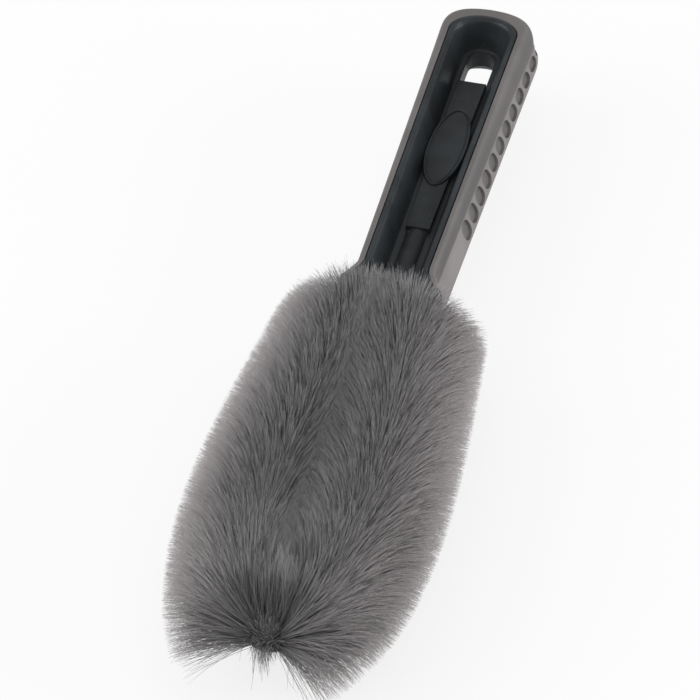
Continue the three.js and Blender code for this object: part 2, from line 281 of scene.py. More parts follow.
@dataclass(frozen=True)
class CorePlastic:
    """Satin black polypropylene with a fine moulded grain and faint handling marks."""

    dark: Colour = (0.017, 0.020, 0.022)
    pale: Colour = (0.030, 0.035, 0.039)
    roughness: float = 0.38
    gloss: float = 0.25
    grain: float = 2600.0

    def build(self) -> bpy.types.Material:
        """Makes the material."""
        tree = NodeTree("core_plastic")
        place = tree.place()
        cloud = tree.noise(place, 60.0, 4.0)
        grain = tree.noise(place, self.grain, 2.0)
        speck = tree.remap(tree.noise(place, 900.0, 1.0), 0.70, 0.78, 0.0, 1.0)
        colour = tree.mix(tree.remap(cloud, 0.35, 0.65, 0.0, 1.0), self.dark, self.pale)
        dusty = tree.mix(speck * 0.5, colour, (0.09, 0.095, 0.10))
        tree.relief(grain + 0.6 * cloud, 0.22, 0.0002)
        rough = self.roughness + 0.16 * (cloud - 0.5) + 0.1 * (grain - 0.5)
        return tree.finish(base_color=dusty, roughness=rough, specular_ior_level=self.gloss)


@dataclass(frozen=True)
class GripRubber:
    """Matt warm-grey soft-touch rubber, with painted light that makes the flank and ridge paler than the
    shoulder.
    """

    body: Colour = (0.056, 0.0515, 0.051)
    worn: Colour = (0.069, 0.064, 0.063)
    # Gain of the painted light that makes the flank and ridge paler than the shoulder
    painted_light_gain: float = 1.8
    recess_dark: float = 0.42
    roughness: float = 0.58
    grain: float = 3200.0

    def build(self) -> bpy.types.Material:
        """Makes the material."""
        tree = NodeTree("grip_rubber")
        place = tree.place()
        cloud = tree.noise(place, 45.0, 3.0)
        grain = tree.noise(place, self.grain, 2.0)
        colour = tree.mix(tree.remap(cloud, 0.40, 0.66, 0.0, 1.0), self.body, self.worn)
        recess = tree.node("ShaderNodeAttribute", {"attribute_name": GripBand.RECESS}).out("Fac")
        painted_light_share = tree.node("ShaderNodeAttribute", {"attribute_name": GripBand.PAINTED_LIGHT}).out("Fac")
        # Painted light: the flank and ridge are painted paler and the shoulder's dip darker, as light falls
        # there
        painted_light = (0.93 + 0.14 * grain) * (1 + self.painted_light_gain * painted_light_share)
        fine = tree.shade(colour, painted_light * (1 - self.recess_dark * recess))
        tree.relief(grain, 0.30, 0.00015)
        return tree.finish(base_color=fine, roughness=self.roughness + 0.14 * (cloud - 0.5))


@dataclass(frozen=True)
class StemSteel:
    """Drawn steel wire with long fine draw marks and a dulled zinc skin."""

    bright: Colour = (0.42, 0.43, 0.44)
    dull: Colour = (0.24, 0.245, 0.25)

    def build(self) -> bpy.types.Material:
        """Makes the material."""
        tree = NodeTree("stem_steel")
        cloud = tree.noise(tree.place(), 420.0, 4.0)
        colour = tree.mix(tree.remap(cloud, 0.38, 0.62, 0.0, 1.0), self.dull, self.bright)
        tree.relief(cloud, 0.2, 0.0001)
        return tree.finish(base_color=colour, roughness=0.28 + 0.3 * cloud, metallic=1.0)


@dataclass(frozen=True)
class SheathRubber:
    """Black rubber sleeve with a dry, slightly mottled skin."""

    black: Colour = (0.016, 0.016, 0.017)
    bloom: Colour = (0.034, 0.034, 0.036)

    def build(self) -> bpy.types.Material:
        """Makes the material."""
        tree = NodeTree("sheath_rubber")
        cloud = tree.noise(tree.place(), 700.0, 4.0)
        colour = tree.mix(tree.remap(cloud, 0.4, 0.65, 0.0, 1.0), self.black, self.bloom)
        tree.relief(cloud, 0.35, 0.0002)
        return tree.finish(base_color=colour, roughness=0.5 + 0.2 * cloud)


@dataclass(frozen=True)
class Filament:
    """Grey synthetic filament, paler and warmer towards its frayed end, with painted light that makes it
    paler at the head's sides.

    deep and pale are the colours of root, shaft and tip, at the middle and at the sides, where the paler ones
    are painted light.
    """

    deep: tuple[Colour, Colour, Colour] = (
        (0.12, 0.121, 0.123),
        (0.165, 0.165, 0.168),
        (0.28, 0.275, 0.28),
    )
    # Painted light: the paler colours that strands at the head's sides get
    pale: tuple[Colour, Colour, Colour] = (
        (0.20, 0.197, 0.20),
        (0.30, 0.290, 0.292),
        (0.47, 0.436, 0.438),
    )
    roughness: float = 0.5

    def build(self) -> bpy.types.Material:
        """Makes the material.

        The strand map runs up every strand, in a column that says how pale the strand is: painted light at
        the head's sides, with each strand's own tone.
        """
        tree = NodeTree("filament")
        strand = tree.node("ShaderNodeUVMap", {"uv_map": Strands.SHADE_MAP}).out("UV")
        parts = tree.node("ShaderNodeSeparateXYZ", {}, {"Vector": strand})
        along = parts.out("Y")
        column = tree.node("ShaderNodeMath", {"operation": "FLOOR"}, {0: parts.out("X") * Strands.COLUMNS})
        own = tree.node("ShaderNodeTexWhiteNoise", {"noise_dimensions": "1D"}, {"W": column.out(0)})
        deep, pale = (
            tree.ramp(along, [(0.0, root), (0.4, shaft), (0.7, shaft), (1.0, tip)])
            for root, shaft, tip in (self.deep, self.pale)
        )
        # The column mixes in painted light: strands at the head's sides get the pale colours
        colour = tree.mix(column.out(0) * (1 / (Strands.COLUMNS - 1)), deep, pale)
        varied = tree.shade(colour, 0.84 + 0.32 * own.out(0))
        return tree.finish(base_color=varied, roughness=self.roughness)


# ------------------------------------------------------------------ mesh tools


def add_loft(bm: bmesh.types.BMesh, rings: Sequence[Sequence[Vector]]) -> None:
    """Extrudes a closed loop of points through others into one closed solid.

    Args:
        bm: The bmesh that takes the solid.
        rings: Loops of equally many points, from one end of the solid to the other.
    """
    verts = [bm.verts.new(point) for point in rings[0]]
    loop = [bm.edges.new(pair) for pair in zip(verts, verts[1:] + verts[:1])]
    bmesh.ops.contextual_create(bm, geom=loop)
    for points in rings[1:]:
        geom = bmesh.ops.extrude_edge_only(bm, edges=loop)["geom"]
        fresh = {g for g in geom if isinstance(g, bmesh.types.BMVert)}
        loop = [g for g in geom if isinstance(g, bmesh.types.BMEdge) and fresh.issuperset(g.verts)]
        verts = [next(e.other_vert(v) for e in v.link_edges if e.other_vert(v) in fresh) for v in verts]
        for vert, point in zip(verts, points):
            vert.co = point
    bmesh.ops.contextual_create(bm, geom=loop)


def loft(rings: Sequence[Sequence[Vector]]) -> bmesh.types.BMesh:
    """Makes one closed solid through loops of points.

    Args:
        rings: Loops of equally many points, from one end of the solid to the other.

    Returns:
        The solid, with its faces pointing out.
    """
    bm = bmesh.new()
    add_loft(bm, rings)
    bmesh.ops.recalc_face_normals(bm, faces=bm.faces[:])
    return bm


def to_object(bm: bmesh.types.BMesh, name: str) -> bpy.types.Object:
    """Turns a bmesh into an object of the scene.

    Args:
        bm: The bmesh, which is freed.
        name: The object's name.

    Returns:
        The new object.
    """
    mesh = bpy.data.meshes.new(name)
    bm.to_mesh(mesh)
    bm.free()
    piece = bpy.data.objects.new(name, mesh)
    bpy.context.scene.collection.objects.link(piece)
    return piece


def settle(piece: bpy.types.Object) -> None:
    """Replaces an object's mesh by what its modifiers make of it.

    Args:
        piece: The object.
    """
    bpy.context.view_layer.update()
    graph = bpy.context.evaluated_depsgraph_get()
    made = bpy.data.meshes.new_from_object(piece.evaluated_get(graph))
    piece.modifiers.clear()
    piece.data = made


def combine(piece: bpy.types.Object, other: bpy.types.Object, cut: Cut) -> None:
    """Cuts another solid from a piece, or joins it to it.

    Args:
        piece: The piece that changes.
        other: The other solid, which is removed afterwards.
        cut: Whether it is cut out or joined.
    """
    modifier = piece.modifiers.new(cut.name.lower(), "BOOLEAN")
    modifier.operation = cut.value
    modifier.solver = "EXACT"
    modifier.object = other
    settle(piece)
    bpy.data.objects.remove(other)


def smooth(piece: bpy.types.Object) -> None:
    """Shades a piece smooth, apart from its sharp edges.

    Args:
        piece: The piece.
    """
    mesh = piece.data
    mesh.polygons.foreach_set("use_smooth", [True] * len(mesh.polygons))
    mesh.set_sharp_from_angle(angle=SHARP_ANGLE)


def dress(piece: bpy.types.Object, material: bpy.types.Material, slot: str, *nodes: str) -> None:
    """Gives a finished piece all that it needs besides its shape.

    Args:
        piece: The piece.
        material: Its material.
        slot: The record's material slot. It is not used.
        nodes: The nodes of the frame that it stands for.
    """
    piece.data.materials.clear()
    piece.data.materials.append(material)
    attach(piece, BODY)
    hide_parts(*nodes)
    LOG.info("%s: %d faces", piece.name, len(piece.data.polygons))


def tube(
    name: str, points: np.ndarray, radius: float, sides: int, closed_ends: bool = True
) -> bpy.types.Object:
    """Sweeps a round section along a line in space.

    Args:
        name: The piece's name.
        points: The line, as rows of x, y and z.
        radius: The section's radius.
        sides: How many sides the section has.
        closed_ends: Whether the ends are capped.

    Returns:
        The tube as a mesh object.
    """
    curve = bpy.data.curves.new(name, "CURVE")
    curve.dimensions = "3D"
    curve.bevel_depth = radius
    curve.bevel_resolution = sides // 4
    curve.use_fill_caps = closed_ends
    spline = curve.splines.new("POLY")
    spline.points.add(len(points) - 1)
    spline.points.foreach_set("co", np.column_stack([points, np.ones(len(points))]).ravel())
    holder = bpy.data.objects.new(name, curve)
    bpy.context.scene.collection.objects.link(holder)
    bpy.context.view_layer.update()
    mesh = bpy.data.meshes.new_from_object(holder.evaluated_get(bpy.context.evaluated_depsgraph_get()))
    bpy.data.objects.remove(holder)
    bm = bmesh.new()
    bm.from_mesh(mesh)
    bmesh.ops.remove_doubles(bm, verts=bm.verts[:], dist=WELD)
    bmesh.ops.recalc_face_normals(bm, faces=bm.faces[:])
    return to_object(bm, name)


# ------------------------------------------------------------------ handle


@dataclass
class HandlePlan:
    """Sizes that the core and the grip share, and the plan outlines that follow from them."""

    front: float
    butt: float
    middle: float
    top: float
    underside: float
    top_at_neck: float = 0.0138
    web: float = 0.00345
    flare_length: float = 0.009
    flare_spread: float = 0.004
    core_half_butt: float = 0.0121
    core_half_neck: float = 0.01105
    butt_wall: float = 0.0105
    core_round: float = 0.009
    core_corner: Point = (0.45, 0.58)
    grip_corner: Point = (0.25, 0.80)
    straight_steps: int = 48
    corner_steps: int = 20
    front_crowding: float = 1.6
    flare_power: float = 1.35

    @classmethod
    def from_frame(cls) -> "HandlePlan":
        """Takes the handle's place and thickness from the frame."""
        low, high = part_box("grip_overmould")
        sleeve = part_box("tip_sheath")
        middle = (sleeve[0].z + sleeve[1].z) / 2
        return cls(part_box("handle_core")[1].x, low.x, middle, high.z - middle, middle - low.z)

    def side(
        self,
        half_butt: float,
        half_neck: float,
        butt: float,
        curve: float,
        corner: Point,
        set_back: float = 0.0,
    ) -> list[Point]:
        """The left half of a plan, from its front end to the middle of the butt.

        Args:
            half_butt: Half width where the rounded butt begins.
            half_neck: Half width behind the flare.
            butt: Where the butt ends, along X.
            curve: Length of the rounded butt.
            corner: Shares of that length and of the half width that shape the corner.
            set_back: How far the plan's front end lies behind the front face.

        Returns:
            The points, always equally many, evenly spread over each stretch.
        """
        neck = self.front - self.flare_length
        start = self.front - set_back
        points: list[Point] = []
        for i in range(self.straight_steps):
            t = (i / self.straight_steps) ** self.front_crowding
            x = start + t * (butt + curve - start)
            half = half_neck + (half_butt - half_neck) * max(0.0, neck - x) / (neck - butt - curve)
            points.append((x, half + self._flare(x)))
        for i in range(self.corner_steps + 1):
            t = i / self.corner_steps
            a, b, c = (1 - t) ** 3, 3 * t * (1 - t) ** 2, 3 * t * t * (1 - t)
            x = butt + curve * (a + b * corner[0])
            points.append((x, half_butt * (a + b + corner[1] * c)))
        return points

    def _flare(self, x: float) -> float:
        """How far the handle's front end stands out at a place along X."""
        share = max(0.0, (x - self.front) / self.flare_length + 1)
        return self.flare_spread * share**self.flare_power

    def core_side(self, grow: float, set_back: float = 0.0) -> list[Point]:
        """The left half of the hard core's plan.

        Args:
            grow: How far it stands outside the core's own edge.
            set_back: How far its front end lies behind the front face.

        Returns:
            The points, from the front to the middle of the butt.
        """
        return self.side(
            self.core_half_butt + grow,
            self.core_half_neck + grow,
            self.butt + self.butt_wall - grow,
            self.core_round,
            self.core_corner,
            set_back,
        )

    def level(self, x: float, z: float) -> float:
        """Turns a height of the drawn section into a height in the frame.

        Args:
            x: The place along X: the handle gets thinner towards the neck.
            z: The drawn height above the middle plane, the same above and below.

        Returns:
            The height in the frame, flattened below the web.
        """
        flatten = (self.underside - self.web) / (self.top - self.web)
        drawn = max(z, -self.web) + flatten * min(z + self.web, 0.0)
        along = min(1.0, max(0.0, (x - self.butt) / (self.front - self.butt)))
        return drawn * (1 + along * (self.top_at_neck / self.top - 1)) + self.middle

    def lay(self, plan: Iterable[Point], z: float) -> list[Vector]:
        """Lays a plan at one height above the middle plane."""
        return [Vector((x, y, self.level(x, z))) for x, y in plan]


def mirrored(side: Sequence[Point]) -> list[Point]:
    """Closes a left half with its mirror image. The half ends on the middle line."""
    return list(side) + [(x, -y) for x, y in reversed(side[:-1])]


def between(first: Sequence[Point], second: Sequence[Point], share: float) -> list[Point]:
    """A plan that lies part of the way from one plan to another.

    Args:
        first: The plan at 0.
        second: The plan at 1, with as many points.
        share: The share of the way.

    Returns:
        The plan between them.
    """
    return [
        (a[0] + share * (b[0] - a[0]), a[1] + share * (b[1] - a[1]))
        for a, b in zip(first, second)
    ]


@dataclass
class HandleCore:
    """The hard black core: scooped channels, raised strips, oval pads, boss and hang slot."""

    plan: HandlePlan
    ledge: float = 0.0015
    groove: float = 0.0012
    strip_half_butt: float = 0.0053
    strip_half_neck: float = 0.0042
    strip_level: float = 0.0057
    channel_butt_wall: float = 0.005
    channel_neck_wall: float = 0.004
    slot_end: float = 0.016
    slot_length: float = 0.020
    slot_half: float = 0.0049
    strip_end: float = 0.0395
    pad_centre: float = 0.0735
    pad_half_length: float = 0.021
    pad_half_width: float = 0.0070
    pad_rise: float = 0.0007
    boss_radius: float = 0.0051
    socket_radius: float = 0.0029
    socket_depth: float = 0.031
    sunk: float = 0.0005
    edge: float = 0.00035
    wall_steps: int = 14
    arc_steps: int = 24
    round_steps: int = 96
    slot_overcut: float = 0.0008
    slot_lip: float = 0.0001

    # Shares of the eased edge, outwards and up, that round a rim
    RIM = ((-1.0, 0.0), (-0.3, 0.25), (0.0, 1.0))
    ROLL_OVER = ((0.3, 0.25), (1.0, -0.02))
    # The oval pad from its rim inwards: inset in millimetres and share of the pad's rise
    PAD_BEAD = ((0.0, 0.35), (0.12, 0.8), (0.3, 1.0), (0.62, 1.0), (0.8, 0.8))
    PAD_FIELD = ((0.9, 0.25), (1.35, 0.25), (1.5, 0.55), (1.9, 0.62))

    def build(self, material: bpy.types.Material) -> None:
        """Makes the core and dresses it.

        Args:
            material: The core's material.
        """
        piece = to_object(self._body(), "core_shell")
        for top in (1, -1):
            combine(piece, to_object(self._channel(top), "channel"), Cut.REMOVE)
            combine(piece, to_object(self._strip(top), "strip"), Cut.ADD)
            combine(piece, to_object(self._pad(top), "pad"), Cut.ADD)
        combine(piece, to_object(self._boss(), "boss"), Cut.ADD)
        combine(piece, to_object(self._slot(), "slot"), Cut.REMOVE)
        for side in Side:
            combine(piece, to_object(self._socket(side), "socket"), Cut.REMOVE)
        smooth(piece)
        dress(piece, material, "core_plastic", "handle_core")

    def _body(self) -> bmesh.types.BMesh:
        """The core before it is hollowed, with rounded rims."""
        top = self.plan.top
        steps = [(grow * self.edge, rise * self.edge - top) for grow, rise in self.RIM]
        steps += [(grow, -z) for grow, z in reversed(steps)]
        rings = [self.plan.lay(mirrored(self.plan.core_side(grow)), z) for grow, z in steps]
        return loft(rings)

    def _floor_side(self) -> list[Point]:
        """Left half of the channel's floor, matched point by point to the rim."""
        half_butt, half_neck = self.strip_half_butt + self.groove, self.strip_half_neck + self.groove
        front = self.plan.front - self.channel_neck_wall - self.ledge
        start = self.plan.butt + self.plan.butt_wall + self.channel_butt_wall + half_butt
        points: list[Point] = []
        for i in range(self.plan.straight_steps):
            share = i / self.plan.straight_steps
            points.append((front + (start - front) * share, half_neck + (half_butt - half_neck) * share))
        for i in range(self.plan.corner_steps + 1):
            angle = math.pi / 2 * i / self.plan.corner_steps
            points.append((start - half_butt * math.sin(angle), half_butt * math.cos(angle)))
        return points

    def _channel(self, top: int) -> bmesh.types.BMesh:
        """The scoop: a flat floor between walls that roll over into the rim.

        Args:
            top: 1 for the upper face, -1 for the lower one.

        Returns:
            The cutter.
        """
        floor = self._floor_side()
        rim = self.plan.core_side(-self.ledge, self.channel_neck_wall)
        depth = self.plan.top - self.plan.web
        rings = []
        for i in range(self.wall_steps + 1):
            share = i / self.wall_steps
            rise = share * share * (3 - 2 * share)
            z = self.plan.web + (depth - self.edge) * rise
            rings.append(self.plan.lay(mirrored(between(floor, rim, share)), top * z))
        for grow, drop in self.ROLL_OVER:
            wide = self.plan.core_side(grow * self.edge - self.ledge, self.channel_neck_wall)
            rings.append(self.plan.lay(mirrored(wide), top * (self.plan.top - drop * self.edge)))
        return loft(rings)

    def _strip(self, top: int) -> bmesh.types.BMesh:
        """The strip on the channel's floor, narrower at the neck, with eased edges.

        Args:
            top: 1 for the upper face, -1 for the lower one.

        Returns:
            The strip, which reaches a little into the floor.
        """
        back = self.plan.butt + self.slot_end + self.slot_length
        front = self.plan.front - self.strip_end
        level, edge = self.strip_level, self.edge
        steps = [(0.0, self.plan.web - self.sunk), (0.0, level - edge)]
        steps += [(0.3 * edge, level - 0.3 * edge), (edge, level)]
        rings = []
        for inset, z in steps:
            butt_half, neck_half = self.strip_half_butt - inset, self.strip_half_neck - inset
            left = [(back + inset * 0.5, butt_half), (front - inset, neck_half)]
            plan = left + [(x, -y) for x, y in reversed(left)]
            rings.append(self.plan.lay(plan, top * z))
        return loft(rings)

    def _slot_plan(self, half: float) -> list[Point]:
        """A plan with a straight end towards the neck and a round end towards the butt.

        Args:
            half: Half the plan's width.

        Returns:
            The closed plan.
        """
        start = self.plan.butt + self.slot_end + self.slot_half
        stop = self.plan.butt + self.slot_end + self.slot_length
        points = [(stop, -half), (stop, half)]
        for i in range(self.arc_steps + 1):
            angle = math.pi * (0.5 + i / self.arc_steps)
            points.append((start + half * math.cos(angle), half * math.sin(angle)))
        return points

    def _slot(self) -> bmesh.types.BMesh:
        """The hang slot, right through the core, with eased edges."""
        narrow, wide = self._slot_plan(self.slot_half), self._slot_plan(self.slot_half + self.edge)
        web, ease = self.plan.web, self.edge
        steps = [(wide, web + self.slot_overcut), (wide, web + self.slot_lip), (narrow, web - ease)]
        rings = [self.plan.lay(plan, -z) for plan, z in steps]
        rings += [self.plan.lay(plan, z) for plan, z in reversed(steps)]
        return loft(rings)

    def _pad(self, top: int) -> bmesh.types.BMesh:
        """The bare oval pad: a raised bead, a groove inside it and a flat field.

        Args:
            top: 1 for the upper face, -1 for the lower one.

        Returns:
            The pad, which reaches a little into the floor.
        """
        centre = self.plan.butt + self.pad_centre
        levels = [(0.0, self.plan.web - self.sunk)]
        for inset, rise in self.PAD_BEAD + self.PAD_FIELD:
            levels.append((inset / MILLIMETRES, self.strip_level + rise * self.pad_rise))
        turns = [2 * math.pi * i / self.round_steps for i in range(self.round_steps)]
        rings = []
        for inset, z in levels:
            long, wide = self.pad_half_length - inset, self.pad_half_width - inset
            plan = [(centre + long * math.cos(a), wide * math.sin(a)) for a in turns]
            rings.append(self.plan.lay(plan, top * z))
        return loft(rings)

    def _boss(self) -> bmesh.types.BMesh:
        """The half-round boss over the wire sockets."""
        back, front = self.plan.front - self.strip_end, self.plan.front - self.channel_neck_wall
        turns = [2 * math.pi * i / self.round_steps for i in range(self.round_steps)]
        circle = [(self.boss_radius * math.cos(a), self.boss_radius * math.sin(a)) for a in turns]
        rings = []
        for x in (back - self.sunk, front):
            rings.append([Vector((x, y, self.plan.level(x, z))) for y, z in circle])
        return loft(rings)

    def _socket(self, side: Side) -> bmesh.types.BMesh:
        """The blind bore that holds one end of the stem.

        Args:
            side: The side of the handle.

        Returns:
            The cutter.
        """
        leg = Leg(side, self.plan.front, self.plan.middle)
        turns = [2 * math.pi * i / self.arc_steps for i in range(self.arc_steps)]
        up = Vector((0, 0, self.socket_radius))
        rings = []
        for depth in (-self.socket_depth, self.edge):
            centre, along = leg.straight(depth)
            across = Vector((-along.y, along.x, 0)) * self.socket_radius
            rings.append([centre + math.cos(a) * across + math.sin(a) * up for a in turns])
        return loft(rings)


@dataclass
class GripBand:
    """The grey soft-touch band around the core, with a row of recesses on each side.

    A recess is a rounded cell. leaf_shear is how far its top leans along the handle, as a
    share of its height.
    """

    plan: HandlePlan
    half_butt: float = 0.0182
    half_neck: float = 0.0168
    butt_round: float = 0.013
    gap: float = 0.0003
    flank_foot: float = -0.0020
    ridge_butt: float = 0.0020
    ridge_neck: float = 0.0074
    lean_butt: float = 0.06
    lean_neck: float = 0.44
    ridge_curve: float = 0.4
    land: float = 0.20
    leaf_pitch: float = 0.0096
    last_leaf: float = 0.045
    plain_butt: float = 0.014
    leaf_reach: float = 0.96
    leaf_width: float = 0.0076
    leaf_shear: float = 0.25
    leaf_fullness: float = 2.5
    leaf_centre: float = 0.52
    leaf_depth: float = 0.0012
    shoulder_steps: int = 14
    leaf_steps: int = 28

    RECESS = "recess"
    PAINTED_LIGHT = "painted_light_share"
    # Share of the way up from the ridge to the rim, and how much painted light the rubber gets there: the
    # flank and ridge are painted pale, the shoulder dark and the rim beside the core paler again
    PAINTED_LIGHT_STOPS = ((-0.3, 1.0), (-0.02, 1.0), (0.03, 0.8), (0.12, 0.05), (0.6, 0.0), (0.85, 0.25), (1.0, 0.6))
    # The upper flank, the rounded ridge above it and the rim beside the core
    FLANK = (0.0, 0.25, 0.5, 0.75, 0.97)
    RIDGE = ((0.012, 0.0001), (0.035, 0.00025))
    INNER_RIM = ((0.94, 0.0), (0.985, 0.0001), (1.0, 0.0004))
    # A recess's cutter from its floor outwards: size, and place as a share of the depth
    CUTTER = ((0.72, -1.0), (0.9, -0.85), (0.97, -0.2), (1.0, 0.0), (1.06, 1.0))

    def build(self, material: bpy.types.Material) -> None:
        """Makes the band and dresses it.

        Args:
            material: The band's material.
        """
        piece = to_object(self._band(), "grip_band")
        combine(piece, to_object(self._leaves(), "leaves"), Cut.REMOVE)
        self._mark_recesses(piece)
        self._mark_painted_light(piece)
        smooth(piece)
        dress(piece, material, "grip_rubber", "grip_overmould")

    def _mark_recesses(self, piece: bpy.types.Object) -> None:
        """Turns the cutters' material number into the attribute that the finish reads.

        Args:
            piece: The band, after the recesses are cut.
        """
        faces = piece.data.polygons
        number = np.zeros(len(faces), np.int32)
        faces.foreach_get("material_index", number)
        mark = piece.data.attributes.new(self.RECESS, "FLOAT", "FACE")
        mark.data.foreach_set("value", number.astype(np.float32))
        faces.foreach_set("material_index", np.zeros_like(number))

    def _mark_painted_light(self, piece: bpy.types.Object) -> None:
        """Writes how much painted light each vertex gets: the flank and ridge are painted pale and the
        shoulder dark, as light falls on them.

        Args:
            piece: The band, after the recesses are cut.
        """
        mark = piece.data.attributes.new(self.PAINTED_LIGHT, "FLOAT", "POINT")
        low, high = zip(*self.PAINTED_LIGHT_STOPS)
        painted_levels = []
        for vert in piece.data.vertices:
            ridge = self.plan.level(vert.co.x, self._flank(vert.co.x)[0])
            share = (vert.co.z - ridge) / (self.plan.level(vert.co.x, self.plan.top) - ridge)
            painted_levels.append(float(np.interp(share, low, high)))
        mark.data.foreach_set("value", painted_levels)

    def _outer(self) -> list[Point]:
        """Left half of the band's plan at its widest."""
        plan = self.plan
        return plan.side(self.half_butt, self.half_neck, plan.butt, self.butt_round, plan.grip_corner)

    def _flank(self, x: float) -> tuple[float, float]:
        """The flank's shape at one place along the handle.

        Args:
            x: The place along X.

        Returns:
            How high the flank's upper ridge lies, and the share that it leans in by.
        """
        along = max(0.0, (x - self.plan.butt) / (self.plan.front - self.plan.butt))
        share = along**self.ridge_curve
        ridge = self.ridge_butt + share * (self.ridge_neck - self.ridge_butt)
        return ridge, self.lean_butt + share * (self.lean_neck - self.lean_butt)

    def _section(self, x: float) -> list[tuple[float, float]]:
        """The band's section at one place along the handle.

        Args:
            x: The place along X, which sets how tall and how drafted the flank is.

        Returns:
            Pairs of a share, from 0 at the outside to 1 at the core, and a height.
        """
        ridge, lean = self._flank(x)
        foot = self.flank_foot
        upper = [(lean * t, foot + (ridge - foot) * t) for t in self.FLANK]
        upper += [(lean + share, ridge + rise) for share, rise in self.RIDGE]
        upper += self._shoulder(*upper[-1])
        lower = [(0.0, 2 * foot), *self._shoulder(0.0, 2 * foot, -1)]
        return upper + lower[::-1]

    def _shoulder(self, share: float, height: float, up: int = 1) -> list[tuple[float, float]]:
        """A rounded shoulder from a point of the section to the rim beside the core.

        Args:
            share: Where the shoulder starts, from 0 at the outside to 1 at the core.
            height: The height where it starts.
            up: 1 for the upper shoulder, -1 for the lower one.

        Returns:
            The points after the start, as share and height.
        """
        inner, top = 1 - self.land, up * self.plan.top
        points = []
        for i in range(1, self.shoulder_steps + 1):
            angle = math.pi / 2 * i / self.shoulder_steps
            points.append(
                (inner + (share - inner) * math.cos(angle), height + (top - height) * math.sin(angle))
            )
        return points + [(place, top - up * drop) for place, drop in self.INNER_RIM]

    def _band(self) -> bmesh.types.BMesh:
        """Sweeps the section around the handle, from one side of the front to the other."""
        inner, outer = self.plan.core_side(self.gap), self._outer()
        stations = [*zip(outer, inner)]
        stations += [((a[0], -a[1]), (b[0], -b[1])) for a, b in reversed(stations[:-1])]
        rings = []
        for (ox, oy), (ix, iy) in stations:
            points = []
            for share, z in self._section(ox):
                x, y = ox + share * (ix - ox), oy + share * (iy - oy)
                points.append(Vector((x, y, self.plan.level(x, z))))
            rings.append(points)
        return loft(rings)

    def _leaves(self) -> bmesh.types.BMesh:
        """All the cutters of the recesses."""
        plan = self.plan
        inner, outer = (np.array(side) for side in (plan.core_side(self.gap), self._outer()))
        behind = outer[:, 0] <= plan.front - plan.flare_length
        inner, outer = inner[behind], outer[behind]
        steps = np.linalg.norm(np.diff(outer, axis=0), axis=1)
        run = np.concatenate([[0.0], np.cumsum(steps)])
        bm = bmesh.new()
        for at in np.arange(self.last_leaf - plan.flare_length, run[-1] - self.plain_butt, self.leaf_pitch):
            place, ahead = (
                Vector([float(np.interp(d, run, outer[:, axis])) for axis in (0, 1)] + [0.0])
                for d in (at, at + self.gap)
            )
            core = Vector([float(np.interp(at, run, inner[:, axis])) for axis in (0, 1)] + [0.0])
            for side in Side:
                self._leaf(bm, place, core, (place - ahead).normalized(), side)
        for face in bm.faces:
            face.material_index = 1
        bmesh.ops.recalc_face_normals(bm, faces=bm.faces[:])
        return bm

    def _leaf(
        self, bm: bmesh.types.BMesh, place: Vector, core: Vector, along: Vector, side: Side
    ) -> None:
        """Adds one recess's cutter, set square into the drafted flank, with eased walls.

        Args:
            bm: Takes the cutter.
            place: Where the recess lies on the flank's foot line.
            core: The core's wall across from it.
            along: Direction of the foot line there.
            side: The side of the handle.
        """
        ridge, lean = self._flank(place.x)
        rise = (core - place) * lean + Vector((0, 0, ridge - self.flank_foot))
        up = rise.normalized()
        outward = along.cross(up) * -1
        middle = place + self.leaf_centre * rise
        middle.z = self.plan.level(place.x, self.flank_foot + self.leaf_centre * rise.z)
        power = 2 / self.leaf_fullness
        turns = [2 * math.pi * i / self.leaf_steps for i in range(self.leaf_steps)]
        outline = []
        for turn in turns:
            parts = (math.cos(turn), math.sin(turn))
            outline.append(tuple(math.copysign(abs(part) ** power, part) for part in parts))
        loops = []
        for scale, out in self.CUTTER:
            points = []
            for w, t in outline:
                high = t * self.leaf_reach * rise.length
                wide = w * self.leaf_width + self.leaf_shear * high
                p = middle + 0.5 * scale * (along * wide + up * high) + outward * out * self.leaf_depth
                points.append(Vector((p.x, side.value * p.y, p.z)))
            loops.append(points)
        add_loft(bm, loops)


# ------------------------------------------------------------------ stem


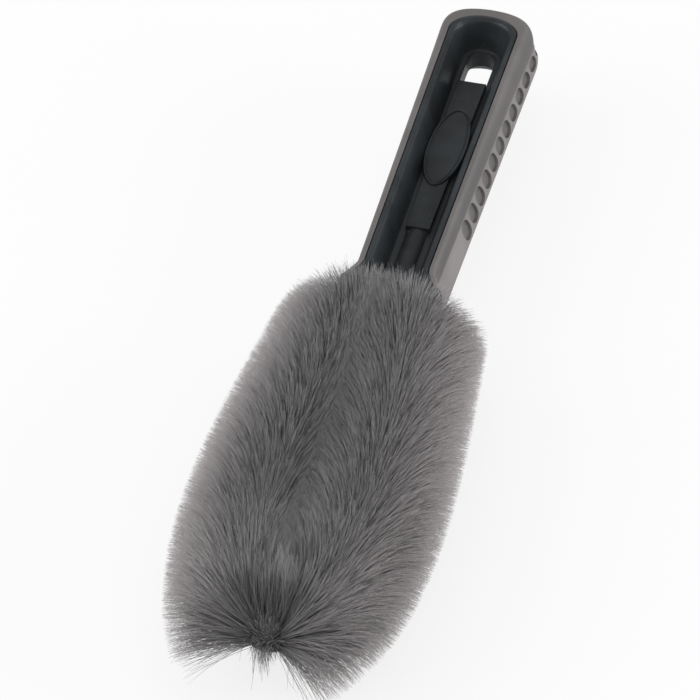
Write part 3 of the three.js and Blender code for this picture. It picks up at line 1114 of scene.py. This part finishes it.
@dataclass
class Leg:
    """One leg of the loop, from the handle's face to the hairpin bend."""

    side: Side
    front: float
    middle: float
    loop_length: float = 0.1685
    half_start: float = 0.0075
    belly: float = 0.0255
    splay: float = 0.0118
    bend_radius: float = 0.005
    bend_lean: float = 0.5
    samples: int = 600

    def __post_init__(self) -> None:
        """Samples the leg's curve and measures it."""
        end = Vector((self.loop_length - self.bend_radius, 0)) + self.bend_radius * Vector(
            (math.sin(self.bend_lean), math.cos(self.bend_lean))
        )
        reach = (self.belly - end.y) / math.sin(self.bend_lean)
        control = [
            (0.0, self.half_start),
            (self.loop_length / 3, self.splay),
            (end.x - reach * math.cos(self.bend_lean), self.belly),
            (end.x, end.y),
        ]
        t = np.linspace(0.0, 1.0, self.samples)
        weights = [(1 - t) ** 3, 3 * t * (1 - t) ** 2, 3 * t * t * (1 - t), t**3]
        flat = sum(w[:, None] * np.array(c) for w, c in zip(weights, control))
        self.points = flat * (1, self.side.value) + (self.front, 0)
        gaps = np.linalg.norm(np.diff(self.points, axis=0), axis=1)
        self.run = np.concatenate([[0.0], np.cumsum(gaps)])
        slopes = np.gradient(self.points, self.run, axis=0)
        self.slopes = slopes / np.linalg.norm(slopes, axis=1)[:, None]
        self.length = float(self.run[-1])
        self.apex = self.length + self.bend_radius * (math.pi / 2 - self.bend_lean)

    def at(self, along: np.ndarray) -> tuple[np.ndarray, np.ndarray]:
        """Points and directions at lengths along the leg, as rows of x, y and z.

        Lengths past the leg's end run on around the hairpin, where the direction stays.

        Args:
            along: Lengths from the handle's face.

        Returns:
            The points and the directions.
        """
        point = [np.interp(along, self.run, self.points[:, axis]) for axis in (0, 1)]
        turn = self.bend_lean + np.maximum(along - self.length, 0) / self.bend_radius
        ahead = np.sin(turn) - math.sin(self.bend_lean)
        inward = math.cos(self.bend_lean) - np.cos(turn)
        point[0] = point[0] + self.bend_radius * ahead
        point[1] = point[1] - self.side.value * self.bend_radius * inward
        slope = [np.interp(along, self.run, self.slopes[:, axis]) for axis in (0, 1)]
        level = np.full_like(along, self.middle)
        return np.stack([*point, level], 1), np.stack([*slope, np.zeros_like(along)], 1)

    def straight(self, along: float) -> tuple[Vector, Vector]:
        """A point on the straight line that the leg starts along, and its direction.

        Args:
            along: The length from the handle's face, negative inside the handle.

        Returns:
            The point and the direction.
        """
        point, slope = self.at(np.zeros(1))
        return Vector(point[0] + slope[0] * along), Vector(slope[0])


@dataclass
class Stem:
    """The two twisted wires and the sleeve over their hairpin bend."""

    front: float
    middle: float
    wire_radius: float = 0.0011
    offset: float = 0.00125
    pitch: float = 0.022
    socket_depth: float = 0.030
    sheath_radius: float = 0.00345
    sheath_wall: float = 0.0008
    step: float = 0.0008
    bend_steps: int = 18
    wire_sides: int = 12
    sheath_sides: int = 20

    def build(self, steel: bpy.types.Material, rubber: bpy.types.Material) -> None:
        """Makes both wires and the sleeve, and dresses them.

        Args:
            steel: The wires' material.
            rubber: The sleeve's material.
        """
        line = self._line()
        run = np.concatenate([[0.0], np.cumsum(np.linalg.norm(np.diff(line, axis=0), axis=1))])
        slope = np.gradient(line, run, axis=0)
        across = np.stack([-slope[:, 1], slope[:, 0], np.zeros(len(run))], 1)
        for name, phase in (("a", 0.0), ("b", math.pi)):
            turn = 2 * math.pi * run / self.pitch + phase
            strand = line + self.offset * (np.cos(turn)[:, None] * across + np.sin(turn)[:, None] * (0, 0, 1))
            wire = tube(f"wire_{name}", strand, self.wire_radius, self.wire_sides)
            smooth(wire)
            dress(wire, steel, "stem_steel", f"stem_wire_{name}")
        self._sleeve(line, run, rubber)

    def _line(self) -> np.ndarray:
        """Middle line of the stem: socket, leg, hairpin, leg, socket."""
        left, right = (Leg(side, self.front, self.middle) for side in Side)
        along = np.arange(-self.socket_depth, 0, self.step)
        point, slope = left.at(np.zeros(1))
        start = point + along[:, None] * slope
        leg = left.at(np.arange(0, left.length, self.step))[0]
        sweep = np.linspace(math.pi / 2 - left.bend_lean, left.bend_lean - math.pi / 2, self.bend_steps)
        centre = self.front + left.loop_length - left.bend_radius
        bend = np.stack([centre + left.bend_radius * np.cos(sweep), left.bend_radius * np.sin(sweep)], 1)
        turn = np.column_stack([bend, np.full(len(sweep), self.middle)])
        half = np.concatenate([start, leg])
        return np.concatenate([half, turn, half[::-1] * (1, -1, 1)])

    def _sleeve(self, line: np.ndarray, run: np.ndarray, rubber: bpy.types.Material) -> None:
        """Makes the dark sleeve, open at both ends, with a real wall.

        Args:
            line: The stem's middle line.
            run: The length along it at each of its points.
            rubber: The sleeve's material.
        """
        leg = Leg(Side.LEFT, self.front, self.middle)
        reach = leg.bend_radius * (math.pi / 2 - leg.bend_lean)
        near = np.abs(run - run[-1] / 2) <= reach
        sleeve = tube("tip_sleeve", line[near], self.sheath_radius, self.sheath_sides, closed_ends=False)
        wall = sleeve.modifiers.new("wall", "SOLIDIFY")
        wall.thickness = self.sheath_wall
        wall.offset = -1
        settle(sleeve)
        smooth(sleeve)
        dress(sleeve, rubber, "sheath_rubber", "tip_sheath")


# ------------------------------------------------------------------ filaments


@dataclass
class Strands:
    """The filaments of one leg, split into the same stretches as the frame's solids.

    The spreads are shares of a filament's length or direction, and the stretches are lengths
    along the leg.
    """

    leg: Leg
    stretches: int = 14
    per_stretch: int = 3400
    reach: float = 0.0278
    thick: float = 0.000078
    clump_step: float = 0.0017
    clump_turns: int = 56
    pull: float = 0.11
    wander: float = 0.038
    stray_reach: float = 0.0150
    stray_stretch: float = 0.020
    stray_gain: float = 2.0
    first: float = 0.0015
    root: float = 0.0006
    length_spread: float = 0.045
    bend_spread: float = 0.08
    tuft_stretch: float = 0.002
    tuft_share: float = 0.22
    tuft_spread: float = 0.7
    lift_spread: float = 0.1
    drape: float = 0.6
    slip: float = 0.7
    meeting_room: float = 0.006
    lobe_stretch: float = 0.035
    # How much paler the painted light makes the lobes by the tip
    lobe_painted_light: float = 0.7
    tone_spread: float = 0.2
    sweep_stretch: float = 0.042
    sweep_below: float = 1.5
    sweep_up: float = 0.25
    trim_stretch: float = 0.030
    trim_neck: float = 0.10
    meeting_shift: float = 0.005
    meeting_height: float = 0.01
    half_height: float = 0.0272
    face_half_height: float = 0.0150
    face_half_width: float = 0.0200
    face_gap: float = 0.0004

    # The tuft over the sleeve: how far it stands up and forward, and its lengths
    TUFT = (0.9, 0.3)
    TUFT_LENGTHS = (0.15, 0.40)
    # How far filaments lean forward beside the neck, and how low they start to sweep back
    SWEEP = {Side.LEFT: (0.26, 0.42), Side.RIGHT: (0.27, 0.08)}
    TIP_TRIM = {Side.LEFT: 0.05, Side.RIGHT: -0.04}

    SHADE_MAP = "strand"
    BAKE_MAP = "OFBake"
    COLUMNS = 64
    SPINE = (0.0, 0.36, 0.7, 1.0)
    TAPER = (1.1, 1.0, 0.9, 0.4)

    def build(self, material: bpy.types.Material) -> None:
        """Makes one piece of filaments for each stretch of the leg and dresses it.

        Args:
            material: The filaments' material.
        """
        word = self.leg.side.name.lower()
        rng = np.random.default_rng(40 + self.leg.side.value)
        count = self.stretches * self.per_stretch
        along = np.sort(rng.uniform(self.first, self.leg.apex, count))
        spine, painted_light_and_tone = self._grow(rng, along)
        template = strand_template(len(self.SPINE))
        for i in range(self.stretches):
            own = slice(i * self.per_stretch, (i + 1) * self.per_stretch)
            name = f"filaments_{word}_{i + 1:02d}"
            piece = self._mesh(name, spine[own], painted_light_and_tone[own], template, rng)
            dress(piece, material, "filament", f"bristle_{word}_{i + 1:02d}")

    def _grow(self, rng: np.random.Generator, along: np.ndarray) -> tuple[np.ndarray, np.ndarray]:
        """Lets every filament grow from the stem, step by step.

        Args:
            rng: The source of all random choices.
            along: Where each filament is held, along the leg.

        Returns:
            The filaments' middle lines, as filament, step and x, y, z, and how pale each is, from painted
            light and its own random tone.
        """
        count = len(along)
        side = self.leg.side.value
        turn = rng.uniform(0, 2 * math.pi, count)
        turn, pull_along = self._clump(rng, along, turn)
        point, slope = self.leg.at(along)
        out = np.stack([-slope[:, 1] * side, slope[:, 0] * side, np.zeros(count)], 1)
        up = np.array([0.0, 0.0, 1.0])
        cos, sin = np.cos(turn), np.sin(turn)
        stray = 1 + self.stray_gain * _ease(along, self.leg.length - self.stray_stretch, self.leg.length)
        lean = pull_along + rng.normal(0, self.wander, count) * stray + self._sweep(rng, along, cos, sin)
        length = self.reach * (1 - np.abs(rng.normal(0, self.length_spread, count))) * self._trim(along, sin)
        heading = cos[:, None] * out + sin[:, None] * up + lean[:, None] * slope
        front = (along > self.leg.length - self.tuft_stretch) & (rng.random(count) < self.tuft_share)
        tuft = self.TUFT[0] * up + self.TUFT[1] * slope + rng.normal(0, self.tuft_spread, (count, 3))
        heading = np.where(front[:, None], tuft, heading)
        length = np.where(front, rng.uniform(*self.TUFT_LENGTHS, count) * length, length)
        heading /= np.linalg.norm(heading, axis=1)[:, None]
        bend = rng.normal(0, self.bend_spread, (count, 3)) * stray[:, None]
        lift = np.where(sin + rng.normal(0, self.lift_spread, count) > 0, 1.0, -1.0)
        neck = 1 - _ease(along, 0.002, 0.020)
        mingle = rng.uniform(0.1, 0.9, count)
        line = [point + self.root * heading]
        for before, after in zip(self.SPINE, self.SPINE[1:]):
            step = (heading + after * bend).copy()
            last = line[-1]
            height = np.abs(last[:, 2] - self.leg.middle)
            step[:, 0] -= self.drape * neck * _ease(height, 0.012, 0.019)
            room = side * (last[:, 1] - self._meeting(last))
            inward = np.minimum(0.0, side * step[:, 1])
            kept = inward * np.clip(room / self.meeting_room + mingle, 0.0, 1.0)
            step[:, 1] += side * (kept - inward)
            step[:, 2] += self.slip * lift * (kept - inward)
            step /= np.linalg.norm(step, axis=1)[:, None]
            line.append(last + step * ((after - before) * length)[:, None])
        # Painted light: filaments that point out to the sides, and down in the lobes by the tip, are painted
        # paler; own_tone is each filament's own random tone
        lobe = _ease(along, self.leg.length - self.lobe_stretch, self.leg.length) * _ease(-sin, -0.35, 0.25)
        own_tone = rng.uniform(-self.tone_spread, self.tone_spread, count)
        painted_light_and_tone = _ease(cos + self.lobe_painted_light * lobe, 0.15, 0.85) + own_tone
        return self._confine(np.stack(line, 1)), np.clip(painted_light_and_tone, 0, 1)

    def _clump(
        self, rng: np.random.Generator, along: np.ndarray, turn: np.ndarray
    ) -> tuple[np.ndarray, np.ndarray]:
        """Turns and leans neighbours towards each other, so that they bunch into tufts.

        Args:
            rng: The source of all random choices.
            along: Where each filament is held, along the leg.
            turn: The angle that it points at, around the leg.

        Returns:
            The new angles, and how far each filament leans along the leg.
        """
        rows = int(self.leg.apex / self.clump_step) + 2
        row = (along / self.clump_step).astype(int)
        column = (turn / (2 * math.pi) * self.clump_turns).astype(int) % self.clump_turns
        shift = rng.uniform(-0.3, 0.3, (2, rows, self.clump_turns))
        centre = (row + 0.5 + shift[0, row, column]) * self.clump_step
        facing = (column + 0.5 + shift[1, row, column]) * 2 * math.pi / self.clump_turns
        strength = self.pull * rng.uniform(0.3, 1.0, len(along))
        turned = turn + strength * (facing - turn)
        return turned, strength * (centre - along) / self.reach

    def _sweep(
        self, rng: np.random.Generator, along: np.ndarray, cos: np.ndarray, sin: np.ndarray
    ) -> np.ndarray:
        """How far filaments lean along the leg: back near the tip, forward behind it.

        Args:
            rng: The source of all random choices.
            along: Where each filament is held, along the leg.
            cos: How far it points away from the brush's middle.
            sin: How far it points up.

        Returns:
            The leans, forward above 0.
        """
        tip = _ease(along, self.leg.length - self.sweep_stretch, self.leg.length)
        aside, level = self.SWEEP[self.leg.side]
        above = np.clip(sin, 0, 1) * rng.uniform(0.3, 1.2, len(along))
        below = self.sweep_below * _ease(-sin, level, level + 0.5) * rng.uniform(0.85, 1.25, len(along))
        back = tip * (above + below)
        forward = aside * np.clip(cos, 0, 1) + self.sweep_up * np.clip(sin, 0, 1)
        return (1 - _ease(along, 0.0, 0.026)) * forward - back

    def _trim(self, along: np.ndarray, sin: np.ndarray) -> np.ndarray:
        """How long filaments are near the tip and over the handle's front.

        Args:
            along: Where each filament is held, along the leg.
            sin: How far it points up.

        Returns:
            Shares of the full length.
        """
        start = self.leg.length - self.trim_stretch
        tip = self.TIP_TRIM[self.leg.side] * _ease(along, start, self.leg.length)
        return 1 - tip - self.trim_neck * (1 - _ease(along, 0.0, 0.022)) * np.clip(sin, 0, 1)

    def _meeting(self, point: np.ndarray) -> np.ndarray:
        """Where the filaments of both legs meet: it wanders off the middle near the neck.

        Args:
            point: Points of the filaments.

        Returns:
            The meeting place along Y for each point.
        """
        share = np.clip((point[:, 0] - self.leg.front) / self.leg.loop_length, 0, 1)
        above = np.clip((point[:, 2] - self.leg.middle) / self.meeting_height, -1, 1)
        return -self.meeting_shift * (1 - share) * above

    def _confine(self, spine: np.ndarray) -> np.ndarray:
        """Keeps filaments off the floor, near the loop's tip and out of the handle's front.

        Args:
            spine: The filaments' middle lines, which are changed.

        Returns:
            The same lines.
        """
        height = spine[..., 2] - self.leg.middle
        spine[..., 2] = self.leg.middle + np.clip(height, -self.half_height, self.half_height)
        furthest = self.leg.front + self.leg.loop_length + self.stray_reach
        spine[..., 0] = np.minimum(spine[..., 0], furthest)
        beside = np.abs(spine[..., 1]) < self.face_half_width
        inside = (np.abs(height) < self.face_half_height) & beside
        nearest = self.leg.front + self.face_gap
        behind = inside & (spine[..., 0] < nearest)
        spine[..., 0] = np.where(behind, nearest, spine[..., 0])
        return spine

    def _mesh(
        self,
        name: str,
        spine: np.ndarray,
        painted_light_and_tone: np.ndarray,
        template: "StrandTemplate",
        rng: np.random.Generator,
    ) -> bpy.types.Object:
        """Sets a copy of the template along each middle line.

        A stretch has thousands of filaments, so their vertices are placed together as
        arrays, and an operator's call for each of them is saved.

        Args:
            name: The piece's name.
            spine: The filaments' middle lines.
            painted_light_and_tone: How pale each filament is, from 0 to 1: painted light at the sides and
                lobes, plus its own tone.
            template: One filament's vertices and faces.
            rng: The source of all random choices.

        Returns:
            The piece.
        """
        count, levels = spine.shape[:2]
        tangent = np.gradient(spine, axis=1)
        tangent /= np.linalg.norm(tangent, axis=2)[..., None]
        spun = rng.normal(size=(count, 1, 3))
        first = np.cross(tangent, spun)
        first /= np.linalg.norm(first, axis=2)[..., None]
        second = np.cross(tangent, first)
        level, corner = template.level, template.corner
        radius = self.thick * np.array(self.TAPER)[None, :] * rng.uniform(0.8, 1.15, (count, 1))
        place = spine[:, level]
        place = place + (radius[:, level] * np.cos(corner))[..., None] * first[:, level]
        place = place + (radius[:, level] * np.sin(corner))[..., None] * second[:, level]
        mesh = bpy.data.meshes.new(name)
        per = len(level)
        mesh.vertices.add(count * per)
        mesh.vertices.foreach_set("co", place.astype(np.float32).ravel())
        base = (np.arange(count) * per)[:, None]
        loops = (template.loops[None, :] + base).ravel()
        mesh.loops.add(len(loops))
        mesh.loops.foreach_set("vertex_index", loops.astype(np.int32))
        starts = (template.starts[None, :] + (np.arange(count) * len(template.loops))[:, None]).ravel()
        mesh.polygons.add(len(starts))
        mesh.polygons.foreach_set("loop_start", starts.astype(np.int32))
        mesh.polygons.foreach_set("use_smooth", np.ones(len(starts), bool))
        column = np.round(painted_light_and_tone * (self.COLUMNS - 1))[:, None]
        across = (column + 0.15 + 0.7 * template.across[None, :]) / self.COLUMNS
        up = np.broadcast_to(template.up[None, :], across.shape)
        uv = np.stack([across, up], 2).astype(np.float32).ravel()
        for layer in (self.SHADE_MAP, self.BAKE_MAP):
            mesh.uv_layers.new(name=layer).data.foreach_set("uv", uv)
        mesh.update(calc_edges=True)
        piece = bpy.data.objects.new(name, mesh)
        bpy.context.scene.collection.objects.link(piece)
        return piece


def _ease(value: np.ndarray, low: float, high: float) -> np.ndarray:
    """Rises smoothly from 0 to 1 between two values.

    Args:
        value: The numbers.
        low: Where the rise starts.
        high: Where it ends.

    Returns:
        The eased numbers.
    """
    t = np.clip((value - low) / (high - low), 0, 1)
    return t * t * (3 - 2 * t)


@dataclass
class StrandTemplate:
    """One filament's vertices and faces, ready to be set along many middle lines."""

    level: np.ndarray
    corner: np.ndarray
    loops: np.ndarray
    starts: np.ndarray
    across: np.ndarray
    up: np.ndarray


def strand_template(levels: int) -> StrandTemplate:
    """Extrudes a triangle into one closed filament, without the caps left inside it.

    Args:
        levels: How many rings of vertices the filament has.

    Returns:
        The filament's vertices as level and angle, and its faces with a map.
    """
    bm = bmesh.new()
    bmesh.ops.create_circle(bm, cap_ends=True, radius=1.0, segments=3)
    for _ in range(levels - 1):
        bm.faces.ensure_lookup_table()
        top = max(bm.faces, key=lambda face: face.calc_center_median().z)
        made = bmesh.ops.extrude_face_region(bm, geom=[top])
        verts = [g for g in made["geom"] if isinstance(g, bmesh.types.BMVert)]
        bmesh.ops.translate(bm, verts=verts, vec=(0, 0, 1))
    inner = [f for f in bm.faces if len(f.verts) == 3 and 0 < f.verts[0].co.z < levels - 1]
    bmesh.ops.delete(bm, geom=inner, context="FACES_ONLY")
    bmesh.ops.recalc_face_normals(bm, faces=bm.faces[:])
    bm.verts.index_update()
    level = np.array([round(v.co.z) for v in bm.verts])
    corner = np.array([math.atan2(v.co.y, v.co.x) % (2 * math.pi) for v in bm.verts])
    loops, starts, across, up = [], [], [], []
    for face in bm.faces:
        starts.append(len(loops))
        turns = [corner[v.index] / (2 * math.pi) for v in face.verts]
        wraps = max(turns) - min(turns) > 0.5 and len(turns) == 4
        for vert, turn in zip(face.verts, turns):
            loops.append(vert.index)
            across.append(turn + (wraps and turn < 0.3))
            cap = 0.0 if len(turns) == 4 else 0.01 * (turn > 0.5)
            up.append(0.01 + 0.97 * level[vert.index] / (levels - 1) + cap)
    bm.free()
    return StrandTemplate(level, corner, *(np.array(a) for a in (loops, starts, across, up)))


# ------------------------------------------------------------------ studio


def facing(place: Vector, back: Vector) -> Matrix:
    """Places something so that it looks away from a direction.

    Args:
        place: Where it stands.
        back: The direction behind it.

    Returns:
        Its matrix.
    """
    return Matrix.Translation(place) @ back.to_track_quat("Z", "Y").to_matrix().to_4x4()


@dataclass(frozen=True)
class Lamp:
    """A soft square light that is aimed at the brush."""

    name: str
    azimuth: float
    elevation: float
    distance: float
    size: float
    power: float


@dataclass
class Studio:
    """Camera, soft lights and a pale floor."""

    target: Vector
    azimuth: float = 103.9
    elevation: float = 41.0
    distance: float = 2.5
    field: float = 0.2381
    right: float = 0.0137
    up: float = 0.01306
    floor_size: float = 6.0
    floor_glow: float = 0.8
    world_strength: float = 0.55

    LAMPS = (
        Lamp("key", 192.0, 13.0, 1.4, 1.0, 16.0),
        Lamp("fill", 18.0, 34.0, 1.4, 1.0, 10.0),
        Lamp("top", 90.0, 76.0, 1.5, 1.2, 4.4),
    )

    def build(self) -> None:
        """Makes the camera, the lights, the world and the floor."""
        self._camera()
        self._floor()
        self._lights()
        scene = bpy.context.scene
        scene.view_settings.view_transform = "Standard"

    def _toward(self, azimuth: float, elevation: float) -> Vector:
        """Direction from the brush to a place around it, both angles in degrees."""
        a, e = math.radians(azimuth), math.radians(elevation)
        return Vector((math.sin(a) * math.cos(e), -math.cos(a) * math.cos(e), math.sin(e)))

    def _camera(self) -> None:
        """A long lens that looks down on the brush from beyond its tip."""
        data = bpy.data.cameras.new("camera")
        data.sensor_width = 36.0
        data.lens = data.sensor_width * self.distance / self.field
        data.clip_end = 20.0
        back = self._toward(self.azimuth, self.elevation)
        camera = bpy.data.objects.new("camera", data)
        aside = back.to_track_quat("Z", "Y") @ Vector((self.right, self.up, 0))
        camera.matrix_world = facing(self.target + back * self.distance - aside, back)
        bpy.context.scene.collection.objects.link(camera)
        bpy.context.scene.camera = camera

    def _floor(self) -> None:
        """A wide pale floor that keeps the brush's shadow."""
        bm = bmesh.new()
        bmesh.ops.create_grid(bm, x_segments=2, y_segments=2, size=self.floor_size)
        floor = to_object(bm, "floor")
        tree = NodeTree("floor")
        tree.finish(base_color=(0.86, 0.86, 0.86, 1.0), roughness=0.9)
        glow = tree.node("ShaderNodeEmission", {}, {"Color": (1, 1, 1, 1), "Strength": 1.0})
        seen = tree.node("ShaderNodeLightPath").out("Is Camera Ray") * self.floor_glow
        mixed = tree.node("ShaderNodeMixShader", {}, {0: seen, 1: tree.surface.out(0), 2: glow.out(0)})
        tree.feed(tree.output, "Surface", mixed.out(0))
        floor.data.materials.append(tree.material)

    def _lights(self) -> None:
        """A low key light on the left, a fill on the right, a weak top light and a white world."""
        for lamp in self.LAMPS:
            data = bpy.data.lights.new(lamp.name, "AREA")
            data.energy = lamp.power
            data.size = lamp.size
            holder = bpy.data.objects.new(lamp.name, data)
            back = self._toward(lamp.azimuth, lamp.elevation)
            holder.matrix_world = facing(self.target + back * lamp.distance, back)
            bpy.context.scene.collection.objects.link(holder)
        world = bpy.data.worlds.new("studio")
        world.use_nodes = True
        world.node_tree.nodes["Background"].inputs["Color"].default_value = (1, 1, 1, 1)
        world.node_tree.nodes["Background"].inputs["Strength"].default_value = self.world_strength
        bpy.context.scene.world = world


def main() -> None:
    """Builds the brush around the frame."""
    logging.basicConfig(level=logging.INFO, format="%(name)s %(message)s")
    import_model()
    plan = HandlePlan.from_frame()
    Studio(Vector((plan.front, 0, plan.middle))).build()
    HandleCore(plan).build(CorePlastic().build())
    GripBand(plan).build(GripRubber().build())
    Stem(plan.front, plan.middle).build(StemSteel().build(), SheathRubber().build())
    filament = Filament().build()
    for side in Side:
        Strands(Leg(side, plan.front, plan.middle)).build(filament)


if __name__ == "__main__":
    main()
